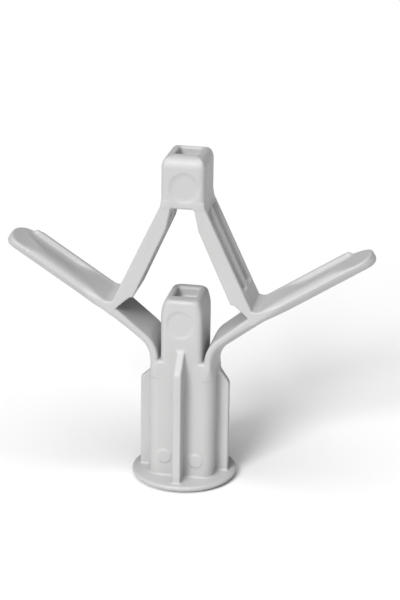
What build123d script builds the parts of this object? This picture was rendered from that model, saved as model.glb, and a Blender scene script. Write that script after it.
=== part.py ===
"""Toggle wall anchor: a one-piece plastic moulding that folds at living hinges.

Row frame: millimetres, +Z from the flange towards the nose, X along the spread of the wings.
The origin is the centre of the flange's outer face. Each side is drawn once, at +X, and mirrored.
"""
from build123d import *
from math import cos, sin, radians
import os

# Driving dimensions
FLANGE_R = 5.65
FLANGE_SEAT_R = 5.0
FLANGE_RIM = 0.3
FLANGE_T = 0.8
BARREL_HALF_W = 3.53
BARREL_CORNER_R = 1.3
BARREL_TOP = 13.7
BORE_R = 1.9
FIN_TIP_R = 4.75
FIN_T = 0.85
RIGHT_FIN_TOPS = (10.95, 13.0)
LEFT_FIN_TOPS = (10.85, 12.1)
MIDDLE_FIN_TOPS = (13.15, 15.1)
HALF_DEPTH = 2.83
CORE_HALF_W = 2.23
CORE_TOP = 20.6
CORE_CHAMFER = (0.55, 1.3)
PILOT_R = 1.1
PILOT_DEPTH = 12.0
SOCKET_W = 2.1
SOCKET_D = 2.7
SOCKET_T = 0.9
MARK_R = 1.37
MARK_T = 0.12
CORE_MARK_Z = 18.0
NOSE_MARK_Z = 32.8
NOSE_HALF_W = 2.27
NOSE_BOTTOM = 30.45
NOSE_TOP = 35.9
NOSE_ROUND = 0.55

# Strap, drawn along its inner face: upright, then an arc, then a straight run to the wing
STRAP_X = 2.42
STRAP_FOOT_Z = 13.2
STRAP_BEND_Z = 13.9
STRAP_BEND_R = 3.4
STRAP_RISE = 39.6
STRAP_RUN = 4.99
STRAP_EDGE_T = 0.7
STRAP_MID_T = 1.4

# Wing, drawn from the elbow along its inner face
WING_START = (7.5, 19.7)
WING_RISE = 32.9
WING_EDGE_T = 1.1
WING_MID_T = 1.7
PAD_LENGTH = 3.2
RAIL_END = 10.5
TIP_END = 13.4
RAIL_W = 0.6
RAIL_END_ROUND = 0.5
TROUGH_T = 0.6

# Strut section in the XZ plane
STRUT_OUTER_TOP = (2.33, 30.6)
STRUT_OUTER_FOOT = (6.7, 21.3)
STRUT_OUTER_NECK = (2.42, 30.4)
STRUT_INNER_TOP = (1.21, 30.4)
STRUT_INNER_BEND = (1.69, 28.2)
STRUT_HEEL = (5.1, 20.6)
STRUT_FOOT_INNER = (6.85, 19.6)
STRUT_FOOT_OUTER = (7.4, 19.8)
RIB_W = 0.6
RIB_RECESS = 0.35
RECESS_W = 4.2
RECESS_MARGIN = 0.06

# Living hinges: axis in the XZ plane and radius of the rounded end that turns there
ROOT_HINGE = (3.12, 14.1)
WING_HINGE = (6.5, 18.35)
ELBOW = (7.25, 19.8)
NOSE_HINGE = (1.75, 30.4)
STRAP_KNUCKLE_R = 0.7
ELBOW_KNUCKLE_R = 0.45
NOSE_KNUCKLE_R = 0.54
HINGE_GAP = 0.1
SET_BACK = 0.3
OPEN_PIVOT_GAP = 0.6

# Cutting shapes: how far they pass the face that they open, and sizes well beyond the moulding
OVERSHOOT = 1.0
CUT_HALF_W = 5.0
CUT_T = 10.0
CUT_SIZE = 40.0


def across(face, half_width=HALF_DEPTH):
    """Extrude a face drawn in the XZ plane to both sides of it."""
    return extrude(Plane.XZ * face, amount=half_width, both=True)


def outline(points):
    """A closed face through XZ points."""
    return make_face(Polyline(*points, close=True))


def disc(centre, radius):
    """A round face about an XZ point."""
    return Pos(*centre) * Circle(radius)


def ahead_of(centre, angle, offset=0.0):
    """A large square face on the far side of a hinge, square to the direction given in degrees."""
    return Pos(*centre) * Rot(0, 0, angle) * Pos(offset + CUT_SIZE / 2, 0) * Rectangle(CUT_SIZE, CUT_SIZE)


def half_round(edge_t, mid_t, half_w=HALF_DEPTH):
    """Section of a strap or wing: flat inner face, square sides and a bowed outer face."""
    side = Polyline((edge_t, -half_w), (0, -half_w), (0, half_w), (edge_t, half_w))
    bow = ThreePointArc((edge_t, half_w), (mid_t, 0), (edge_t, -half_w))
    return make_face(side + bow)


def flange():
    """Collar around the feet of the barrel and its fins, which run through it to the outer face."""
    rim = Pos(0, 0, FLANGE_T - FLANGE_RIM / 2) * Cylinder(FLANGE_R, FLANGE_RIM)
    cone = Pos(0, 0, (FLANGE_T - FLANGE_RIM) / 2) * Cone(FLANGE_SEAT_R, FLANGE_R, FLANGE_T - FLANGE_RIM)
    fins = Box(2 * FIN_TIP_R, FIN_T, 2 * FLANGE_T) + Box(FIN_T, 2 * FIN_TIP_R, 2 * FLANGE_T)
    return rim + cone - barrel_body(-OVERSHOOT) - fins


def barrel():
    tube = barrel_body() - Pos(0, 0, BARREL_TOP / 2) * Cylinder(BORE_R, 2 * BARREL_TOP)
    seat = across(disc(ROOT_HINGE, STRAP_KNUCKLE_R + HINGE_GAP), CUT_HALF_W)
    return tube - seat - mirror(seat, about=Plane.YZ)


def barrel_body(foot=0.0):
    """Outside of the barrel: flat sides, the front and back level with the core, and round corners."""
    height = BARREL_TOP - foot
    block = Box(2 * BARREL_HALF_W, 2 * HALF_DEPTH, height)
    return Pos(0, 0, foot + height / 2) * fillet(block.edges().filter_by(Axis.Z), BARREL_CORNER_R)


def fin(turn, root_r, tops):
    """One anti-rotation fin. Its upper end slopes from the tip in to root_r, between two heights."""
    tip_top, root_top = tops
    profile = outline([(root_r, 0), (FIN_TIP_R, 0), (FIN_TIP_R, tip_top), (root_r, root_top)])
    return Rot(0, 0, turn) * across(profile, FIN_T / 2)


def screw_socket(top):
    """Rectangular mouth with a round pilot hole below it, opening at height top."""
    mouth = Pos(0, 0, top + (OVERSHOOT - SOCKET_T) / 2) * Box(SOCKET_W, SOCKET_D, SOCKET_T + OVERSHOOT)
    return mouth + Pos(0, 0, top + (OVERSHOOT - PILOT_DEPTH) / 2) * Cylinder(PILOT_R, PILOT_DEPTH + OVERSHOOT)


def ejector_mark(height):
    """Shallow round recess in the front face."""
    return Pos(0, -HALF_DEPTH, height) * Rot(90, 0, 0) * Cylinder(MARK_R, 2 * MARK_T)


def core_block():
    drop_x, drop_z = CORE_CHAMFER
    section = outline([
        (-CORE_HALF_W, BARREL_TOP), (CORE_HALF_W, BARREL_TOP), (CORE_HALF_W, CORE_TOP - drop_z),
        (CORE_HALF_W - drop_x, CORE_TOP), (drop_x - CORE_HALF_W, CORE_TOP), (-CORE_HALF_W, CORE_TOP - drop_z),
    ])
    return across(section) - screw_socket(CORE_TOP) - ejector_mark(CORE_MARK_Z)


def nose_block():
    height = NOSE_TOP - NOSE_BOTTOM
    block = Pos(0, 0, NOSE_BOTTOM + height / 2) * Box(2 * NOSE_HALF_W, 2 * HALF_DEPTH, height)
    block = chamfer(block.faces().sort_by(Axis.Z)[-1].edges(), NOSE_ROUND)
    left = disc((-NOSE_HINGE[0], NOSE_HINGE[1]), NOSE_KNUCKLE_R + HINGE_GAP)
    right = disc(NOSE_HINGE, NOSE_KNUCKLE_R + OPEN_PIVOT_GAP)
    seats = across(left, CUT_HALF_W) + across(right, CUT_HALF_W)
    return block - seats - screw_socket(NOSE_TOP) - ejector_mark(NOSE_MARK_Z)


def strap_band():
    """The whole strap, from the barrel to the elbow."""
    tangent = radians(STRAP_RISE)
    rise = Line((STRAP_X, STRAP_FOOT_Z), (STRAP_X, STRAP_BEND_Z))
    bend = JernArc((STRAP_X, STRAP_BEND_Z), (0, 1), STRAP_BEND_R, STRAP_RISE - 90)
    run = Line(bend @ 1, (bend @ 1) + Vector(cos(tangent), sin(tangent)) * STRAP_RUN)
    start = Plane((STRAP_X, 0, STRAP_FOOT_Z), x_dir=(1, 0, 0), z_dir=(0, 0, 1))
    return sweep(start * half_round(STRAP_EDGE_T, STRAP_MID_T), path=Plane.XZ * (rise + bend + run))


def strap(band):
    past_root = ahead_of(ROOT_HINGE, 90) + disc(ROOT_HINGE, STRAP_KNUCKLE_R)
    past_wing = ahead_of(WING_HINGE, STRAP_RISE, -SET_BACK) + disc(WING_HINGE, STRAP_KNUCKLE_R + HINGE_GAP)
    return band & across(past_root - past_wing, CUT_HALF_W)


def wing_plane(along=0.0):
    """Section plane of the wing: local x runs into its thickness, local z along it."""
    angle = radians(WING_RISE)
    x = WING_START[0] + along * cos(angle)
    z = WING_START[1] + along * sin(angle)
    return Plane((x, 0, z), x_dir=(sin(angle), 0, -cos(angle)), z_dir=(cos(angle), 0, sin(angle)))


def wing_solid(start, end):
    section = half_round(WING_EDGE_T, WING_MID_T)
    return extrude(wing_plane(start) * section, amount=end - start)


def wing_pad(band):
    """Flat inner end of the wing, with the hinge to the strap and the seat of the strut's foot."""
    past_wing = ahead_of(WING_HINGE, STRAP_RISE) + disc(WING_HINGE, STRAP_KNUCKLE_R)
    heel = band & across(past_wing, CUT_HALF_W)
    seat = across(disc(ELBOW, ELBOW_KNUCKLE_R + HINGE_GAP), CUT_HALF_W)
    return heel + wing_solid(0, PAD_LENGTH) - seat


def trough(start, end, half_w):
    """Hollow along the wing's inner face."""
    length = end - start
    return wing_plane(start) * Pos(0, 0, length / 2) * Box(2 * TROUGH_T, 2 * half_w, length)


def wing_floor():
    side = HALF_DEPTH - RAIL_W
    body = wing_solid(PAD_LENGTH, RAIL_END) - trough(PAD_LENGTH, RAIL_END, CUT_HALF_W)
    inner = wing_plane(PAD_LENGTH) * Pos(0, 0, (RAIL_END - PAD_LENGTH) / 2)
    return body & (inner * Box(CUT_T, 2 * side, RAIL_END - PAD_LENGTH))


def wing_rail(sign):
    """Side rail of the trough, rounded at its outer end."""
    body = wing_solid(PAD_LENGTH, RAIL_END)
    length = RAIL_END - PAD_LENGTH
    place = wing_plane(PAD_LENGTH) * Pos(0, sign * (HALF_DEPTH - RAIL_W / 2), length / 2)
    rail = body & (place * Box(CUT_T, RAIL_W, length))
    corner = rail.edges().filter_by(Axis.Y).sort_by(Axis.Z)[-1]
    return fillet(corner, RAIL_END_ROUND)


def wing_tip():
    """Rounded prow beyond the rails, level with the trough's floor."""
    body = wing_solid(RAIL_END, TIP_END) - trough(RAIL_END, TIP_END, CUT_HALF_W)
    length = TIP_END - RAIL_END
    prow = Ellipse(length, HALF_DEPTH)
    lift = Plane(wing_plane(RAIL_END).origin, x_dir=wing_plane().z_dir, z_dir=wing_plane().x_dir)
    return body & extrude(lift * prow, amount=CUT_HALF_W)


def strut():
    """Stiff bar from the elbow to the nose, with rounded ends and a recessed outer face."""
    side = outline([
        STRUT_INNER_TOP, STRUT_INNER_BEND, STRUT_HEEL, STRUT_FOOT_INNER,
        STRUT_FOOT_OUTER, STRUT_OUTER_FOOT, STRUT_OUTER_NECK,
    ])
    side = side + disc(ELBOW, ELBOW_KNUCKLE_R) + disc(NOSE_HINGE, NOSE_KNUCKLE_R)
    return across(side) - strut_recess(RECESS_W)


def strut_recess(width):
    """Shallow pocket along the outer face of the strut."""
    foot = Vector(*STRUT_OUTER_FOOT)
    run = Vector(*STRUT_OUTER_TOP) - foot
    start = foot + run * RECESS_MARGIN
    end = foot + run * (1 - RECESS_MARGIN)
    inward = Vector(-run.Y, run.X).normalized() * RIB_RECESS
    return across(outline([start, end, end + inward, start + inward]), width / 2)


def strut_rib():
    return strut_recess(RIB_W)


def write(name, shape):
    export_step(shape, f"parts/{name}.step")


os.makedirs("parts", exist_ok=True)
write("flange", flange())
write("barrel", barrel())
write("fin_right", fin(0, BARREL_HALF_W, RIGHT_FIN_TOPS))
write("fin_back", fin(90, HALF_DEPTH, MIDDLE_FIN_TOPS))
write("fin_left", fin(180, BARREL_HALF_W, LEFT_FIN_TOPS))
write("fin_front", fin(270, HALF_DEPTH, MIDDLE_FIN_TOPS))
write("core_block", core_block())
write("nose_block", nose_block())

BAND = strap_band()
SIDE = {
    "strap": strap(BAND),
    "wing_pad": wing_pad(BAND),
    "wing_floor": wing_floor(),
    "wing_rail_front": wing_rail(-1),
    "wing_rail_back": wing_rail(1),
    "wing_tip": wing_tip(),
    "strut": strut(),
    "strut_rib": strut_rib(),
}
for piece, shape in SIDE.items():
    write(f"{piece}_right", shape)
    write(f"{piece}_left", mirror(shape, about=Plane.YZ))
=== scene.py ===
"""Toggle wall anchor in satin white plastic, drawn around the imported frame.

The anchor is one moulding, so its skin is one distance function, in millimetres, with soft unions
for its moulded fillets. The skin is meshed once and cut into pieces along flat planes.
"""
import itertools
from math import cos, hypot, radians, sin

import bmesh
import bpy
import numpy as np
from mathutils import Matrix, Vector
from mathutils.geometry import delaunay_2d_cdt


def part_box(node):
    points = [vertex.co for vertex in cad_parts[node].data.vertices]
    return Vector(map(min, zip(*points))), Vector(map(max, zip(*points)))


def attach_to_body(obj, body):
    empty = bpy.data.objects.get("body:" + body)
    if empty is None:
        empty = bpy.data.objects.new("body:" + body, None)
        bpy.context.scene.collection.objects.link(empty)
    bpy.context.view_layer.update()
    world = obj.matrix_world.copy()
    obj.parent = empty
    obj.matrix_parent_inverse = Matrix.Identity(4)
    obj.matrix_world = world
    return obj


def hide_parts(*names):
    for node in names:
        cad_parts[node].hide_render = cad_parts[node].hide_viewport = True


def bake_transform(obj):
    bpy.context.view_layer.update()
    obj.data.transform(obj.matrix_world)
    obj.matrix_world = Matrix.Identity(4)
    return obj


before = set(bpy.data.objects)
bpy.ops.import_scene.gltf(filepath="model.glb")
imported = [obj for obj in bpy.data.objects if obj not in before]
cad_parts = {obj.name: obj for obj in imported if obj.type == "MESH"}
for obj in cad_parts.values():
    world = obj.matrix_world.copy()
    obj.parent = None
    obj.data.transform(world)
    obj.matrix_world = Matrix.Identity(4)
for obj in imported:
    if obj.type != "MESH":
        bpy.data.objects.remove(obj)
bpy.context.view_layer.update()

MM = 0.001


def corner(node):
    """Highest corner of a CAD node's box, in millimetres."""
    return [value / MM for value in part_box(node)[1]]


# Sizes that the frame gives
FLANGE_R, _, FLANGE_T = corner("flange")
BARREL_HALF_W, _, BARREL_TOP = corner("barrel")
CORE_HALF_W, HALF_DEPTH, CORE_TOP = corner("core_block")
NOSE_HALF_W, _, NOSE_TOP = corner("nose_block")
NOSE_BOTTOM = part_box("nose_block")[0][2] / MM
FIN_TIP_R = corner("fin_right")[0]

# Base
FLANGE_SEAT_R = 5.0
FLANGE_RIM = 0.35
BORE_R = 1.9
BARREL_CORNER_R = 1.3
FIN_HALF_T = 0.43
FIN_ROOT_R = 2.9
FIN_SLOPE_ROOT = 0.57
FIN_EDGE_ROUND = 0.2
FOOT_FILLET = 0.25
FOOT_Z = 0.3
SHOULDER_DROP = 1.1
SHOULDER_RISE = 0.2
RIGHT_FIN_TOPS = (10.95, 13.0)
LEFT_FIN_TOPS = (10.85, 12.1)
MIDDLE_FIN_TOPS = (13.15, 15.1)
PAD_R = 0.75
PADS = ((-1.67, 3.0), (1.7, 2.7))
PAD_FACE = 2.92

# Core and nose
CORE_FOOT_Z = 12.7
CORE_CHAMFER = (0.45, 1.2)
CORE_MARK = (-0.13, 17.9)
NOSE_MARK = (0.2, 32.7)
MARK_R = 1.45
MARK_T = 0.09
NOSE_BEVEL = 0.6
NOSE_BEVEL_SLOPE = 0.707
PILOT_R = 0.95
SOCKET_X = (-1.1, 1.2)
SOCKET_Y = (-1.1, 1.7)
SOCKET_T = 1.1
MOUTH_ROUND = 0.4

# Strap: upright, an arc, then a straight run
STRAP_X = 2.45
STRAP_BEND_Z = 13.9
STRAP_BEND_R = 3.4
STRAP_RISE = radians(39.6)
STRAP_FOOT_Z = 12.0
FLARE = 1.3
FLARE_TOP = 15.7

# Strap and wing thickness: at the side, and in the middle with what the root and the wing add
EDGE_T = (0.66, 1.1)
MIDDLE_T = (1.14, 0.28, 0.36)

# Wing
WING_START = (7.5, 19.7)
WING_RISE = radians(32.9)
PAD_END = 3.2
RAIL_END = 10.85
RIGHT_TIP_END = 13.45
LEFT_TIP_END = 12.75
TROUGH_T = 0.45
TROUGH_BACK = 2.08
TROUGH_RUN_OUT = 0.12
FRONT_ROUND = 1.5
BACK_ROUND = 0.35
TONGUE_START = 10.3
TROUGH_FRONT = -1.7
TROUGH_DEEPEST = 1.5

# Strut outline, from the nose down the inner face to the foot and up the outer face
STRUT = (
    (1.21, 31.2), (1.21, 30.4), (1.69, 28.2), (5.1, 20.6), (5.5, 20.5), (6.06, 20.03),
    (6.95, 19.2), (7.3, 18.9), (7.75, 19.4), (7.4, 19.85), (6.7, 21.3), (2.33, 30.6), (2.2, 31.2),
)
STRUT_FOOT = (6.7, 21.3)
STRUT_TOP = (2.33, 30.6)
RECESS_T = 0.35
RECESS_HALF_W = 2.2
RECESS_END = 0.5
RIB_HALF_W = 0.36

# Fillet between strut and wing: at the strut's inner side, and what it gains over a stretch of X
ELBOW_FILLET = (0.15, 0.75)
ELBOW_X = (6.9, 7.6)

# Cuts between the pieces
FLANGE_CUT = 0.95
CORE_CUT = 14.05
CORE_GAP_X = 2.33
SIDE_FIN_CUT = 3.8
MIDDLE_FIN_CUT = 3.12
FIN_CUT_TOP = 13.1
NOTCH = (7.17, 19.53)
WEB = (-0.663, 0.749)
WEB_LENGTH = 0.9
GAP_Z = 19.08
RAIL_CUT = 2.28
TIP_CUT = 11.0
NOSE_WEB_Z = 29.3
NOSE_CUT = NOSE_BOTTOM - 0.1
STRAP_LOWER = ((3.0, 14.15), (3.5, 16.0))
STRAP_SPLIT = (4.2, 16.4)
STRAP_UPPER = ((5.04, 17.29), (6.99, 18.70))

# Mesh
GRID_LOW = (-20.0, -6.0, -0.4)
GRID_HIGH = (20.0, 6.0, 36.4)
HEAD_Z = 25.0
PITCH = 0.1
GRADIENT_STEP = 0.02
CUT_TOLERANCE = 0.0005
MERGE = 0.0002
BLOCK = 8
CHUNK = 30000

# Studio, with the floor in metres
CAMERA_AZIMUTH = radians(10.29)
CAMERA_ELEVATION = radians(20.14)
CAMERA_ROLL = radians(0.8)
CAMERA_TARGET = (1.45, 0, 19.86)
CAMERA_DISTANCE = 201.37
CAMERA_LENS = 115.98
FLOOR_REACH = 3.0
FLOOR_DROP = -0.00003


# Distance functions

def soft_min(a, b, blend):
    """Union of two solids with a fillet."""
    share = np.clip(0.5 + 0.5 * (b - a) / blend, 0, 1)
    return b + (a - b) * share - blend * share * (1 - share)


def soft_max(a, b, blend):
    """Overlap of two solids with a rounded edge."""
    return -soft_min(-a, -b, blend)


def slope(x, z, start, end):
    """Signed distance from a line in the XZ plane, positive on its right going from start to end."""
    run_x = end[0] - start[0]
    run_z = end[1] - start[1]
    return ((x - start[0]) * run_z - (z - start[1]) * run_x) / hypot(run_x, run_z)


def step(value, low, high):
    """Smooth rise from 0 at low to 1 at high."""
    t = np.clip((value - low) / (high - low), 0, 1)
    return t * t * (3 - 2 * t)


def polygon(points, x, z):
    """Signed distance from a closed outline in the XZ plane."""
    nearest = np.full_like(x, 1e9)
    inside = np.zeros(x.shape, bool)
    for (ax, az), (bx, bz) in zip(points, points[1:] + points[:1]):
        ex, ez = bx - ax, bz - az
        t = np.clip(((x - ax) * ex + (z - az) * ez) / (ex * ex + ez * ez), 0, 1)
        nearest = np.minimum(nearest, (x - ax - t * ex) ** 2 + (z - az - t * ez) ** 2)
        if ez:
            inside ^= ((az > z) != (bz > z)) & (x < ax + ex * (z - az) / ez)
    return np.where(inside, -1, 1) * np.sqrt(nearest)


def flange(x, y, z):
    """Disc with a flared rim."""
    r = np.hypot(x, y)
    flare = slope(r, z, (FLANGE_SEAT_R, 0), (FLANGE_R, FLANGE_T - FLANGE_RIM))
    side = soft_max(r - FLANGE_R, flare, 0.4)
    return soft_max(side, np.abs(z - FLANGE_T / 2) - FLANGE_T / 2, 0.3)


def barrel_side(x, y):
    """Upright sides of the barrel, with round corners."""
    wide = np.abs(x) - BARREL_HALF_W + BARREL_CORNER_R
    deep = np.abs(y) - HALF_DEPTH + BARREL_CORNER_R
    outside = np.hypot(np.maximum(wide, 0), np.maximum(deep, 0))
    return outside + np.minimum(np.maximum(wide, deep), 0) - BARREL_CORNER_R


def barrel(x, y, z):
    """Barrel with sloped shoulders and two round pads near its foot."""
    low = (BARREL_HALF_W, BARREL_TOP - SHOULDER_DROP)
    high = (HALF_DEPTH, BARREL_TOP + SHOULDER_RISE)
    shoulder = slope(np.abs(x), z, low, high)
    top = soft_max(soft_max(barrel_side(x, y), shoulder, 0.8), z - BARREL_TOP - 0.1, 0.3)
    tube = np.maximum(top, FOOT_Z - z)
    for pad_x, pad_z in PADS:
        disc = np.hypot(x - pad_x, z - pad_z) - PAD_R
        pad = soft_max(disc, np.maximum(-y - PAD_FACE, y + PAD_FACE - 0.4), 0.15)
        tube = soft_min(tube, pad, 0.12)
    return tube


def fin(reach, across, z, tops):
    """Fin that reaches out along one axis, with a sloped upper end."""
    tip_top, root_top = tops
    cap = slope(reach, z, (FIN_TIP_R, tip_top), (HALF_DEPTH + FIN_SLOPE_ROOT, root_top))
    blade = soft_max(np.maximum(reach - FIN_TIP_R, FIN_ROOT_R - reach), cap, 0.12)
    return np.maximum(soft_max(blade, np.abs(across) - FIN_HALF_T, FIN_EDGE_ROUND), FOOT_Z - z)


def middle_fin(y, x, z):
    """Front and back fins, which run into the barrel."""
    tip_top, root_top = MIDDLE_FIN_TOPS
    reach = np.abs(y)
    cap = slope(reach, z, (FIN_TIP_R, tip_top), (HALF_DEPTH, root_top))
    blade = soft_max(np.maximum(reach - FIN_TIP_R, 1 - reach), cap, 0.25)
    return np.maximum(soft_max(blade, np.abs(x) - FIN_HALF_T, FIN_EDGE_ROUND), FOOT_Z - z)


def socket(x, y, z, top):
    """Rectangular mouth with a round pilot hole below it."""
    mid_x, mid_y = sum(SOCKET_X) / 2, sum(SOCKET_Y) / 2
    wide = np.abs(x - mid_x) - (SOCKET_X[1] - SOCKET_X[0]) / 2
    deep = np.abs(y - mid_y) - (SOCKET_Y[1] - SOCKET_Y[0]) / 2
    mouth = soft_max(soft_max(wide, deep, 0.4), top - SOCKET_T - z, 0.2)
    return soft_min(mouth, np.hypot(x, y) - PILOT_R, 0.15)


def mark(x, y, z, centre):
    """Round ejector mark in the front face."""
    disc = np.hypot(x - centre[0], z - centre[1]) - MARK_R
    return soft_max(disc, np.maximum(y + HALF_DEPTH - MARK_T, -y - HALF_DEPTH - 1), 0.35)


def core(x, y, z):
    """Block on top of the barrel, with leaning sides near its top."""
    drop_x, drop_z = CORE_CHAMFER
    wide = np.abs(x)
    lean = slope(wide, z, (CORE_HALF_W, CORE_TOP - drop_z), (CORE_HALF_W - drop_x, CORE_TOP))
    section = soft_max(soft_max(wide - CORE_HALF_W, lean, 0.3), np.abs(y) - HALF_DEPTH, 0.8)
    block = soft_max(section, z - CORE_TOP, 0.45)
    block = np.maximum(block, CORE_FOOT_Z - z)
    return soft_max(block, -mark(x, y, z, CORE_MARK), 0.2)


def nose(x, y, z):
    """Block at the top, with a bevelled upper edge."""
    wide = soft_max(np.abs(x) - NOSE_HALF_W, np.abs(y) - HALF_DEPTH, 0.7)
    height = np.maximum(z - NOSE_TOP, NOSE_BOTTOM - z)
    past_side = np.maximum(np.abs(x) - NOSE_HALF_W, np.abs(y) - HALF_DEPTH)
    bevel = (past_side + z - NOSE_TOP + NOSE_BEVEL) * NOSE_BEVEL_SLOPE
    block = soft_max(soft_max(wide, height, 0.3), bevel, 0.5)
    return soft_max(block, -mark(x, y, z, NOSE_MARK), 0.3)


BEND = (STRAP_X + STRAP_BEND_R, STRAP_BEND_Z)
RUN_START = (BEND[0] - STRAP_BEND_R * sin(STRAP_RISE), BEND[1] + STRAP_BEND_R * cos(STRAP_RISE))


def strap_depth(x, z):
    """Depth below the strap's inner face."""
    upright = x - STRAP_X
    arc = STRAP_BEND_R - np.hypot(x - BEND[0], z - BEND[1])
    run = (x - RUN_START[0]) * sin(STRAP_RISE) - (z - RUN_START[1]) * cos(STRAP_RISE)
    past_arc = (x - BEND[0]) * cos(STRAP_RISE) + (z - BEND[1]) * sin(STRAP_RISE) > 0
    return np.where(z < STRAP_BEND_Z, upright, np.where(past_arc, run, arc))


def wing_place(x, z):
    """Distance along the wing and depth below its inner face."""
    along = (x - WING_START[0]) * cos(WING_RISE) + (z - WING_START[1]) * sin(WING_RISE)
    depth = (x - WING_START[0]) * sin(WING_RISE) - (z - WING_START[1]) * cos(WING_RISE)
    return along, depth


def thickness(x, y, z):
    """Thickness of the strap and wing: flat inside, bowed outside, and growing towards the tip."""
    edge = EDGE_T[0] + (EDGE_T[1] - EDGE_T[0]) * step(x, 5, 10.5)
    middle = MIDDLE_T[0] + MIDDLE_T[1] * step(z, 13, 15) + MIDDLE_T[2] * np.clip((x - 4.5) / 6.5, 0, 1)
    return edge + (middle - edge) * (1 - (y / HALF_DEPTH) ** 2)


def trough(y, along, depth):
    """Hollow of the wing, between a steep back rail and a soft front edge, that runs out to the tip."""
    past_rail = step(along, RAIL_END - 2.6, RAIL_END + 0.9)
    front = np.maximum(step(y, TROUGH_FRONT, TROUGH_DEEPEST), past_rail)
    past_pad = step(along, PAD_END - 1.0, PAD_END + 2.6)
    floor = TROUGH_T * front * past_pad + TROUGH_RUN_OUT * step(along, RAIL_END, LEFT_TIP_END)
    beside_rail = soft_min(y - TROUGH_BACK, RAIL_END - along, 0.5)
    return soft_max(depth - floor, beside_rail, 0.4)


def band(x, y, z, tip_end):
    """Strap and wing."""
    along, wing_depth = wing_place(x, z)
    strap_in = strap_depth(x, z)
    inner = np.minimum(strap_in, wing_depth)
    lower = np.where(along < -1, strap_in, np.minimum(strap_in, wing_depth))
    outer = np.where(along > 2, wing_depth, lower) - thickness(x, y, z)
    solid = soft_max(outer, -inner, 0.18)
    edge_round = BACK_ROUND + (FRONT_ROUND - BACK_ROUND) * step(along, 0.5, 3.5) * (y < 0)
    solid = soft_max(solid, np.abs(y) - HALF_DEPTH, edge_round)
    flare = FLARE * step(z, STRAP_FOOT_Z, FLARE_TOP)
    solid = soft_max(solid, np.where(z < FLARE_TOP, barrel_side(x, y) - flare, -1), 0.1)
    solid = np.maximum(solid, STRAP_FOOT_Z - z)
    reach = np.clip((along - TONGUE_START) / (tip_end - TONGUE_START), 0, 2)
    plan = np.sqrt(reach ** 2.2 + (np.abs(y) / HALF_DEPTH) ** 2.2 + 1e-9) - 1
    solid = soft_max(solid, np.where(along > TONGUE_START - 0.1, plan * HALF_DEPTH * 0.8, -1), 0.5)
    return soft_max(solid, -trough(y, along, wing_depth), 0.25)


def strut(x, y, z):
    """Strut with a recess on each side of a rib in its outer face."""
    body = soft_max(polygon(STRUT, x, z), np.abs(y) - HALF_DEPTH, 0.2)
    out = slope(x, z, STRUT_TOP, STRUT_FOOT)
    length = hypot(STRUT_TOP[0] - STRUT_FOOT[0], STRUT_TOP[1] - STRUT_FOOT[1])
    run_x, run_z = STRUT_FOOT[0] - STRUT_TOP[0], STRUT_TOP[1] - STRUT_FOOT[1]
    along = slope(x, z, STRUT_FOOT, (STRUT_FOOT[0] + run_z, STRUT_FOOT[1] + run_x))
    ends = np.abs(-along - length / 2) - length / 2 + RECESS_END
    hollow = soft_max(soft_max(-out - RECESS_T, np.abs(y) - RECESS_HALF_W, 0.2), ends, 0.5)
    hollow = soft_max(hollow, RIB_HALF_W - np.abs(y), 0.25)
    return soft_max(body, -hollow, 0.15)


def skin(x, y, z):
    """Signed distance from the whole moulding."""
    wide = np.abs(x)
    root = soft_min(barrel(x, y, z), core(x, y, z), 0.02)
    root = soft_min(root, middle_fin(y, x, z), FOOT_FILLET)
    side_fins = np.where(x > 0, fin(x, y, z, RIGHT_FIN_TOPS), fin(-x, y, z, LEFT_FIN_TOPS))
    root = soft_min(root, side_fins, FOOT_FILLET)
    root = soft_min(root, flange(x, y, z), FOOT_FILLET)
    tip_end = np.where(x > 0, RIGHT_TIP_END, LEFT_TIP_END)
    elbow = ELBOW_FILLET[0] + ELBOW_FILLET[1] * step(wide, *ELBOW_X)
    side = soft_min(band(wide, y, z, tip_end), strut(wide, y, z), elbow)
    side = soft_max(side, np.abs(y) - HALF_DEPTH, 0.1)
    head = soft_min(side, nose(x, y, z), 0.2)
    solid = soft_min(root, side, 0.35 - 0.2 * step(z, 13, 14))
    solid = np.where(z > HEAD_Z, head, solid)
    solid = soft_max(solid, -socket(x, y, z, CORE_TOP), MOUTH_ROUND)
    bore = soft_max(np.hypot(x, y) - BORE_R, z - BARREL_TOP, 0.3)
    solid = soft_max(solid, -bore, 0.2)
    return np.where(z > HEAD_Z, soft_max(head, -socket(x, y, z, NOSE_TOP), MOUTH_ROUND), solid)


# Meshing

def evaluate(points):
    """The skin's distance at many points, in chunks that stay in the cache."""
    values = np.empty(len(points))
    for start in range(0, len(points), CHUNK):
        part = points[start:start + CHUNK]
        values[start:start + CHUNK] = skin(part[:, 0], part[:, 1], part[:, 2])
    return values


def sample():
    """Distances on a fine grid, worked out only near the skin."""
    size = PITCH * BLOCK
    counts = [int(np.ceil((b - a) / size)) for a, b in zip(GRID_LOW, GRID_HIGH)]
    blocks = np.stack(np.meshgrid(*[np.arange(n) for n in counts], indexing="ij"), -1).reshape(-1, 3)
    centres = np.array(GRID_LOW) + (blocks + 0.5) * size
    blocks = blocks[np.abs(evaluate(centres)) < size * 1.5]
    grid = np.full([n * BLOCK + 1 for n in counts], np.nan)
    cell = np.stack(np.meshgrid(*[np.arange(BLOCK + 1)] * 3, indexing="ij"), -1).reshape(-1, 3)
    index = np.unique((blocks[:, None, :] * BLOCK + cell[None]).reshape(-1, 3), axis=0)
    grid[tuple(index.T)] = evaluate(np.array(GRID_LOW) + index * PITCH)
    return grid


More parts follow.
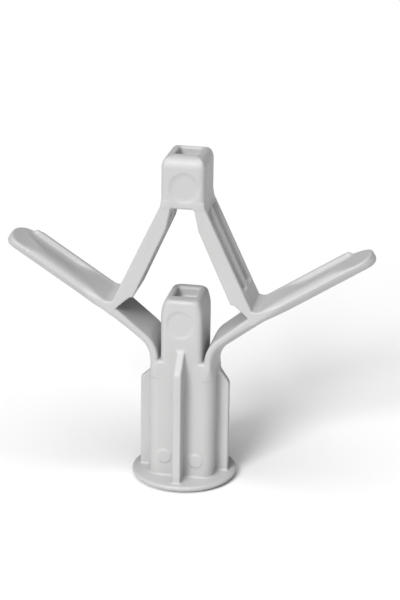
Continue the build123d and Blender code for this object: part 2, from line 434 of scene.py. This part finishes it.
def surface_net():
    """Quads of the skin, one vertex for each cell that it crosses."""
    grid = sample()
    corners = [(i, j, k) for i in (0, 1) for j in (0, 1) for k in (0, 1)]
    shape = [n - 1 for n in grid.shape]
    stack = [grid[i:i + shape[0], j:j + shape[1], k:k + shape[2]] for i, j, k in corners]
    known = ~np.isnan(sum(stack))
    inside = sum((part < 0).astype(np.int8) for part in stack)
    cells = np.argwhere(known & (inside > 0) & (inside < 8))
    number = np.full(shape, -1)
    number[tuple(cells.T)] = np.arange(len(cells))
    total = np.zeros((len(cells), 3))
    count = np.zeros((len(cells), 1))
    for a in corners:
        for axis in range(3):
            if a[axis]:
                continue
            b = tuple(value + (n == axis) for n, value in enumerate(a))
            fa = grid[tuple((cells + a).T)]
            fb = grid[tuple((cells + b).T)]
            crossed = (fa < 0) != (fb < 0)
            place = np.array(a) + np.eye(3)[axis] * (fa / np.where(crossed, fa - fb, 1))[:, None]
            total += np.where(crossed[:, None], place, 0)
            count += crossed[:, None]
    points = np.array(GRID_LOW) + (cells + total / count) * PITCH
    quads = []
    for axis in range(3):
        u, v = (axis + 1) % 3, (axis + 2) % 3
        first = [slice(None)] * 3
        second = [slice(None)] * 3
        first[axis], second[axis] = slice(0, -1), slice(1, None)
        fa, fb = grid[tuple(first)], grid[tuple(second)]
        edges = np.argwhere(((fa < 0) != (fb < 0)) & ~np.isnan(fa + fb))
        ring = []
        for du, dv in ((1, 1), (0, 1), (0, 0), (1, 0)):
            cell = edges.copy()
            cell[:, u] -= du
            cell[:, v] -= dv
            ring.append(number[tuple(cell.T)])
        ring = np.stack(ring, 1)
        flip = fa[tuple(edges.T)] > 0
        ring[flip] = ring[flip][:, ::-1]
        quads.append(ring)
    return points, np.concatenate(quads)


def settle(points):
    """Move the points onto the skin along its gradient."""
    for _ in range(2):
        value = evaluate(points)
        gradient = np.stack([
            (evaluate(points + offset) - evaluate(points - offset)) / (2 * GRADIENT_STEP)
            for offset in GRADIENT_STEP * np.eye(3)
        ], 1)
        steep = np.maximum((gradient ** 2).sum(1), 0.2)
        move = gradient * (value / steep)[:, None]
        length = np.linalg.norm(move, axis=1)
        points = points - move * np.minimum(1, PITCH / np.maximum(length, 1e-9))[:, None]
    return points


# Cutting

def plane(sign, point, along, zone):
    """A cut square to a direction in the XZ plane, through an XZ point, on one side of the anchor."""
    return (np.array([sign * point[0], 0, point[1]]), np.array([sign * along[0], 0, along[1]]), zone)


def level(height, zone):
    """A level cut."""
    return (np.array([0, 0, height]), np.array([0, 0, 1.0]), zone)


def facing(y, zone, sign=1):
    """A cut square to the Y axis."""
    return (np.array([0, y, 0]), np.array([0, sign * 1.0, 0]), zone)


def ahead(x, z, point, along):
    """Distance past a cut, in the XZ plane."""
    return ((x - point[0]) * along[0] + (z - point[1]) * along[1]) / hypot(*along)


def between(start, end):
    """Direction from one XZ point to another."""
    return (end[0] - start[0], end[1] - start[1])


def wing_point(distance):
    """XZ point of the wing's inner face, some way along it."""
    return (WING_START[0] + distance * cos(WING_RISE), WING_START[1] + distance * sin(WING_RISE))


WING_ALONG = (cos(WING_RISE), sin(WING_RISE))
WEB_TOP = (NOTCH[0] + WEB[0] * WEB_LENGTH, NOTCH[1] + WEB[1] * WEB_LENGTH)


def on_strut(x, z):
    """Whether a point is on the strut's side of the elbow, or on the nose."""
    return (ahead(x, z, NOTCH, WEB) > 0) & (z > GAP_Z) & ((x > 3.2) | (z > 22))


def on_band(x, z):
    """Whether a point is on the strap or the wing."""
    start, end = STRAP_LOWER
    return (ahead(x, z, start, between(start, end)) > 0) & (x > CORE_GAP_X) & ~on_strut(x, z)


def piece_of(x, y, z):
    """Name of the piece that each point belongs to."""
    side = np.where(x > 0, "_right", "_left")
    wide = np.abs(x)
    along, _ = wing_place(wide, z)
    lower, upper = STRAP_LOWER, STRAP_UPPER
    past_split = ahead(wide, z, STRAP_SPLIT, between(*lower)) > 0
    past_upper = ahead(wide, z, upper[1], between(*upper)) > 0
    strut_side = on_strut(wide, z)
    names = np.full(x.shape, "barrel", dtype="<U24")
    names[(x > SIDE_FIN_CUT) & (z < FIN_CUT_TOP)] = "fin_right"
    names[(x < -SIDE_FIN_CUT) & (z < FIN_CUT_TOP)] = "fin_left"
    names[(z > CORE_CUT) & (wide < CORE_GAP_X)] = "core_block"
    names[y < -MIDDLE_FIN_CUT] = "fin_front"
    names[y > MIDDLE_FIN_CUT] = "fin_back"
    group = on_band(wide, z)
    part = np.where(past_split, "strap_upper", "strap_lower")
    part = np.where(past_upper, "wing_floor", part)
    part = np.where(past_upper & (y < -RAIL_CUT), "wing_rail_front", part)
    part = np.where(past_upper & (y > RAIL_CUT), "wing_rail_back", part)
    part = np.where(past_upper & (along < PAD_END), "wing_pad", part)
    part = np.where(past_upper & (along > TIP_CUT), "wing_tip", part)
    names[group] = np.char.add(part, side)[group]
    part = np.where(ahead(wide, z, WEB_TOP, WEB) < 0, "elbow_web", "strut")
    part = np.where((x < 0) & (z > NOSE_WEB_Z), "nose_web", part)
    names[strut_side] = np.char.add(part, side)[strut_side]
    names[strut_side & (z > NOSE_CUT)] = "nose_block"
    names[z < FLANGE_CUT] = "flange"
    return names


def cuts():
    """Every cut: a point, a normal and the zone of faces that it may cut."""
    yield level(FLANGE_CUT, lambda x, y, z: z < 2)
    for sign in (-1, 1):
        yield facing(sign * MIDDLE_FIN_CUT, lambda x, y, z: z < 17, sign)
    yield level(CORE_CUT, lambda x, y, z: (np.abs(x) < CORE_GAP_X) & (np.abs(y) < MIDDLE_FIN_CUT))
    yield level(NOSE_CUT, lambda x, y, z: z > HEAD_Z)
    yield level(NOSE_WEB_Z, lambda x, y, z: (z > HEAD_Z) & (x < 0))
    for sign in (-1, 1):
        def here(zone, sign=sign):
            return lambda x, y, z: (sign * x > 0) & zone(np.abs(x), y, z)

        fin_zone = here(lambda x, y, z: (z < FIN_CUT_TOP) & (z > FLANGE_CUT) & (np.abs(y) < 2) & (x > 2))
        yield plane(sign, (SIDE_FIN_CUT, FLANGE_CUT), (1, 0), fin_zone)
        start, end = STRAP_LOWER
        strap_zone = here(lambda x, y, z: (x > CORE_GAP_X) & (z < GAP_Z + 0.3) & (z > 13))
        yield plane(sign, start, between(start, end), strap_zone)
        yield plane(sign, STRAP_SPLIT, between(start, end), strap_zone)
        yield plane(sign, STRAP_UPPER[1], between(*STRAP_UPPER), strap_zone)
        web_zone = here(lambda x, y, z: (z > GAP_Z) & (np.hypot(x - NOTCH[0], z - NOTCH[1]) < 2.5))
        notch_zone = here(lambda x, y, z: (z > GAP_Z - 0.2) & (np.hypot(x - NOTCH[0], z - NOTCH[1]) < 2))
        yield plane(sign, NOTCH, WEB, notch_zone)
        yield plane(sign, WEB_TOP, WEB, web_zone)
        wing_zone = here(lambda x, y, z: ~on_strut(x, z) & (x > 8))
        yield plane(sign, wing_point(PAD_END), WING_ALONG, wing_zone)
        yield plane(sign, wing_point(TIP_CUT), WING_ALONG, wing_zone)
        rail_zone = here(lambda x, y, z: wing_zone(sign * x, y, z) & on_rails(x, z))
        yield facing(RAIL_CUT, rail_zone)
        yield facing(-RAIL_CUT, rail_zone)


def on_rails(x, z):
    """Whether a point is on the stretch of wing that has rails."""
    along, _ = wing_place(x, z)
    return (along > PAD_END) & (along < TIP_CUT)


def face_centres(mesh):
    return np.array([face.calc_center_median() for face in mesh.faces])


def cut_skin(points, quads):
    """The skin as a bmesh, with edges along every cut."""
    mesh = bmesh.new()
    data = bpy.data.meshes.new("skin")
    data.from_pydata(points.tolist(), [], quads.tolist())
    mesh.from_mesh(data)
    bpy.data.meshes.remove(data)
    for point, normal, zone in cuts():
        centres = face_centres(mesh)
        wanted = zone(*centres.T)
        near = np.abs((centres - point) @ (normal / np.linalg.norm(normal))) < 4 * PITCH
        faces = [face for face, use in zip(mesh.faces, wanted & near) if use]
        geometry = dict.fromkeys(faces)
        for face in faces:
            geometry.update(dict.fromkeys(face.edges))
            geometry.update(dict.fromkeys(face.verts))
        bmesh.ops.bisect_plane(mesh, geom=list(geometry), dist=1e-5, plane_co=point, plane_no=normal)
    bmesh.ops.remove_doubles(mesh, verts=mesh.verts, dist=MERGE)
    return mesh


def on_plane(vertex, point, unit):
    return abs((vertex.co - point).dot(unit)) < CUT_TOLERANCE


def open_rim(openings, point, unit):
    """Those of a piece's open edges that lie in one cut."""
    return [
        edge for edge in openings
        if len(edge.link_faces) < 2 and all(on_plane(vertex, point, unit) for vertex in edge.verts)
    ]


def join_corners(mesh, openings, planes):
    """Where two cuts of a piece meet, add the straight edges that their flat ends share."""
    rim = dict.fromkeys(vertex for edge in openings for vertex in edge.verts)
    added = []
    for (point_a, unit_a), (point_b, unit_b) in itertools.combinations(planes, 2):
        line = unit_a.cross(unit_b)
        if line.length < 0.1:
            continue
        corners = [v for v in rim if on_plane(v, point_a, unit_a) and on_plane(v, point_b, unit_b)]
        corners.sort(key=lambda vertex: vertex.co.dot(line))
        for start, end in zip(corners[::2], corners[1::2]):
            if mesh.edges.get((start, end)) is None:
                added.append(mesh.edges.new((start, end)))
    return added


def enclosed(centres, edges):
    """Which points lie inside the outline and outside its holes, counting what a ray from them crosses."""
    start, end = edges[:, 0], edges[:, 1]
    height = centres[:, 1, None]
    crossed = (start[:, 1] > height) != (end[:, 1] > height)
    rise = np.where(end[:, 1] == start[:, 1], 1, end[:, 1] - start[:, 1])
    reach = start[:, 0] + (height - start[:, 1]) * (end[:, 0] - start[:, 0]) / rise
    return (crossed & (centres[:, 0, None] < reach)).sum(1) % 2 == 1


def fill(mesh, rim, unit):
    """Flat triangles inside the closed loops of one opening."""
    vertices = list(dict.fromkeys(vertex for edge in rim for vertex in edge.verts))
    number = {vertex: n for n, vertex in enumerate(vertices)}
    across = unit.orthogonal().normalized()
    up = unit.cross(across)
    flat = [Vector((vertex.co.dot(across), vertex.co.dot(up))) for vertex in vertices]
    edges = [tuple(number[vertex] for vertex in edge.verts) for edge in rim]
    found = delaunay_2d_cdt(flat, edges, [], 1, MERGE / 10)
    places, triangles, sources = np.array(found[0]), found[2], found[3]
    if not triangles:
        return
    solid = enclosed(places[np.array(triangles)].mean(1), np.array(flat)[np.array(edges)])
    for triangle, wanted in zip(triangles, solid):
        ring = [vertices[sources[n][0]] for n in triangle if sources[n]]
        if wanted and len(set(ring)) == 3 and mesh.faces.get(ring) is None:
            mesh.faces.new(ring)


def close(mesh):
    """Fill each flat opening that a cut left, with a sharp edge round it."""
    openings = [edge for edge in mesh.edges if edge.is_boundary]
    planes = [(Vector(point), Vector(normal).normalized()) for point, normal, _ in cuts()]
    planes = [cut for cut in planes if len(open_rim(openings, *cut)) > 2]
    openings += join_corners(mesh, openings, planes)
    for point, unit in planes:
        rim = open_rim(openings, point, unit)
        if len(rim) > 2:
            for edge in rim:
                edge.smooth = False
            fill(mesh, rim, unit)
    bmesh.ops.recalc_face_normals(mesh, faces=mesh.faces)


def build_pieces():
    """Mesh the skin, cut it and make one object for each piece, in metres."""
    points, quads = surface_net()
    mesh = cut_skin(settle(points), quads)
    names = piece_of(*face_centres(mesh).T)
    made = {}
    mesh.verts.index_update()
    places = np.array([vertex.co for vertex in mesh.verts])
    faces = [[vertex.index for vertex in face.verts] for face in mesh.faces]
    mesh.free()
    for name in sorted(set(names)):
        chosen = [face for face, owner in zip(faces, names) if owner == name]
        used = sorted({index for face in chosen for index in face})
        renumber = {index: n for n, index in enumerate(used)}
        data = bpy.data.meshes.new(name)
        data.from_pydata(places[used].tolist(), [], [[renumber[i] for i in face] for face in chosen])
        piece = bmesh.new()
        piece.from_mesh(data)
        close(piece)
        for face in piece.faces:
            face.smooth = True
        bmesh.ops.scale(piece, vec=(MM, MM, MM), verts=piece.verts)
        piece.to_mesh(data)
        piece.free()
        made[name] = bpy.data.objects.new("skin_" + name, data)
        bpy.context.collection.objects.link(made[name])
    return made


# Material

def moulded_plastic():
    """Satin white plastic with faint flow marks and a fine surface grain."""
    material = bpy.data.materials.new("moulded_plastic")
    material.use_nodes = True
    nodes, links = material.node_tree.nodes, material.node_tree.links
    shader = nodes["Principled BSDF"]
    shader.inputs["IOR"].default_value = 1.49
    shader.inputs["Subsurface Weight"].default_value = 0.12
    shader.inputs["Subsurface Radius"].default_value = (0.0008, 0.0008, 0.0008)
    place = nodes.new("ShaderNodeTexCoord")

    def noise(scale, detail):
        node = nodes.new("ShaderNodeTexNoise")
        node.inputs["Scale"].default_value = scale
        node.inputs["Detail"].default_value = detail
        links.new(place.outputs["Object"], node.inputs["Vector"])
        return node.outputs["Fac"]

    def spread(source, low, high):
        node = nodes.new("ShaderNodeMapRange")
        node.inputs["To Min"].default_value = low
        node.inputs["To Max"].default_value = high
        links.new(source, node.inputs["Value"])
        return node.outputs["Result"]

    tone = nodes.new("ShaderNodeMix")
    tone.data_type = "RGBA"
    tone.inputs["A"].default_value = (0.43, 0.43, 0.428, 1)
    tone.inputs["B"].default_value = (0.47, 0.47, 0.468, 1)
    links.new(noise(260, 3), tone.inputs["Factor"])
    links.new(tone.outputs["Result"], shader.inputs["Base Color"])
    links.new(spread(noise(900, 4), 0.38, 0.56), shader.inputs["Roughness"])
    grain = nodes.new("ShaderNodeBump")
    grain.inputs["Strength"].default_value = 0.12
    grain.inputs["Distance"].default_value = 0.00004
    links.new(noise(3500, 3), grain.inputs["Height"])
    links.new(grain.outputs["Normal"], shader.inputs["Normal"])
    return material


# Joining the pieces to the frame


def attach(pieces, material):
    """Attach each piece to its body or bake it in place, hide the CAD nodes it stands for, and give it the
    material.
    """
    fixed = ["flange", "barrel", "fin_right", "fin_back", "fin_left", "fin_front", "core_block"]
    for name in fixed:
        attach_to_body(pieces[name], "root")
        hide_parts(name)
    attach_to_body(pieces["nose_block"], "nose")
    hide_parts("nose_block")
    for sign, side in ((1, "right"), (-1, "left")):
        strap, wing, bar = f"{side}_strap", f"{side}_wing", f"{side}_strut"
        lower = pieces[f"strap_lower_{side}"]
        upper = pieces[f"strap_upper_{side}"]
        web = pieces[f"elbow_web_{side}"]
        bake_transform(lower)
        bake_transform(upper)
        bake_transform(web)
        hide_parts(f"strap_{side}")
        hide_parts(f"strap_{side}")
        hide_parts(f"strut_{side}")
        for part in ("wing_pad", "wing_floor", "wing_rail_front", "wing_rail_back", "wing_tip"):
            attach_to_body(pieces[f"{part}_{side}"], wing)
            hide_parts(f"{part}_{side}")
        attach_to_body(pieces[f"strut_{side}"], bar)
        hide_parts(f"strut_{side}", f"strut_rib_{side}")
    nose_web = pieces["nose_web_left"]
    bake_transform(nose_web)
    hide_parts("strut_left")
    for piece in pieces.values():
        piece.data.materials.append(material)


# Studio

def add_floor():
    """Plain pale floor, a little below the flange."""
    data = bpy.data.meshes.new("floor")
    signs = ((-1, -1), (1, -1), (1, 1), (-1, 1))
    corners = [(x * FLOOR_REACH, y * FLOOR_REACH, FLOOR_DROP) for x, y in signs]
    data.from_pydata(corners, [], [(0, 1, 2, 3)])
    floor = bpy.data.objects.new("floor", data)
    bpy.context.collection.objects.link(floor)
    material = bpy.data.materials.new("floor")
    material.use_nodes = True
    shader = material.node_tree.nodes["Principled BSDF"]
    shader.inputs["Base Color"].default_value = (0.9, 0.9, 0.9, 1)
    shader.inputs["Roughness"].default_value = 0.9
    data.materials.append(material)


def add_light(name, azimuth, elevation, spread, strength):
    """A wide, far studio light, so the floor is lit evenly."""
    data = bpy.data.lights.new(name, "SUN")
    data.angle = radians(spread)
    data.energy = strength
    light = bpy.data.objects.new(name, data)
    bpy.context.collection.objects.link(light)
    a, e = radians(azimuth), radians(elevation)
    towards = Vector((sin(a) * cos(e), -cos(a) * cos(e), sin(e)))
    light.rotation_euler = towards.to_track_quat("Z", "Y").to_euler()


def add_camera():
    """Camera in front of the anchor, a little to its right and above."""
    data = bpy.data.cameras.new("camera")
    data.lens = CAMERA_LENS
    data.clip_start = 0.01
    camera = bpy.data.objects.new("camera", data)
    bpy.context.collection.objects.link(camera)
    a, e, roll = CAMERA_AZIMUTH, CAMERA_ELEVATION, CAMERA_ROLL
    back = Vector((sin(a) * cos(e), -cos(a) * cos(e), sin(e)))
    flat = Vector((cos(a), sin(a), 0))
    steep = back.cross(flat)
    right = flat * cos(roll) + steep * sin(roll)
    up = back.cross(right)
    place = (Vector(CAMERA_TARGET) + back * CAMERA_DISTANCE) * MM
    camera.matrix_world = Matrix((
        (right.x, up.x, back.x, place.x),
        (right.y, up.y, back.y, place.y),
        (right.z, up.z, back.z, place.z),
        (0, 0, 0, 1),
    ))
    bpy.context.scene.camera = camera


def add_world():
    """Faint even white light from all round."""
    world = bpy.data.worlds.new("studio")
    bpy.context.scene.world = world
    world.use_nodes = True
    background = world.node_tree.nodes["Background"]
    background.inputs["Color"].default_value = (1, 1, 1, 1)
    background.inputs["Strength"].default_value = 0.08


add_camera()
add_world()
add_floor()
add_light("key", azimuth=-18, elevation=32, spread=25, strength=2.7)
add_light("top", azimuth=10, elevation=72, spread=50, strength=2.0)
bpy.context.scene.view_settings.view_transform = "Standard"
attach(build_pieces(), moulded_plastic())
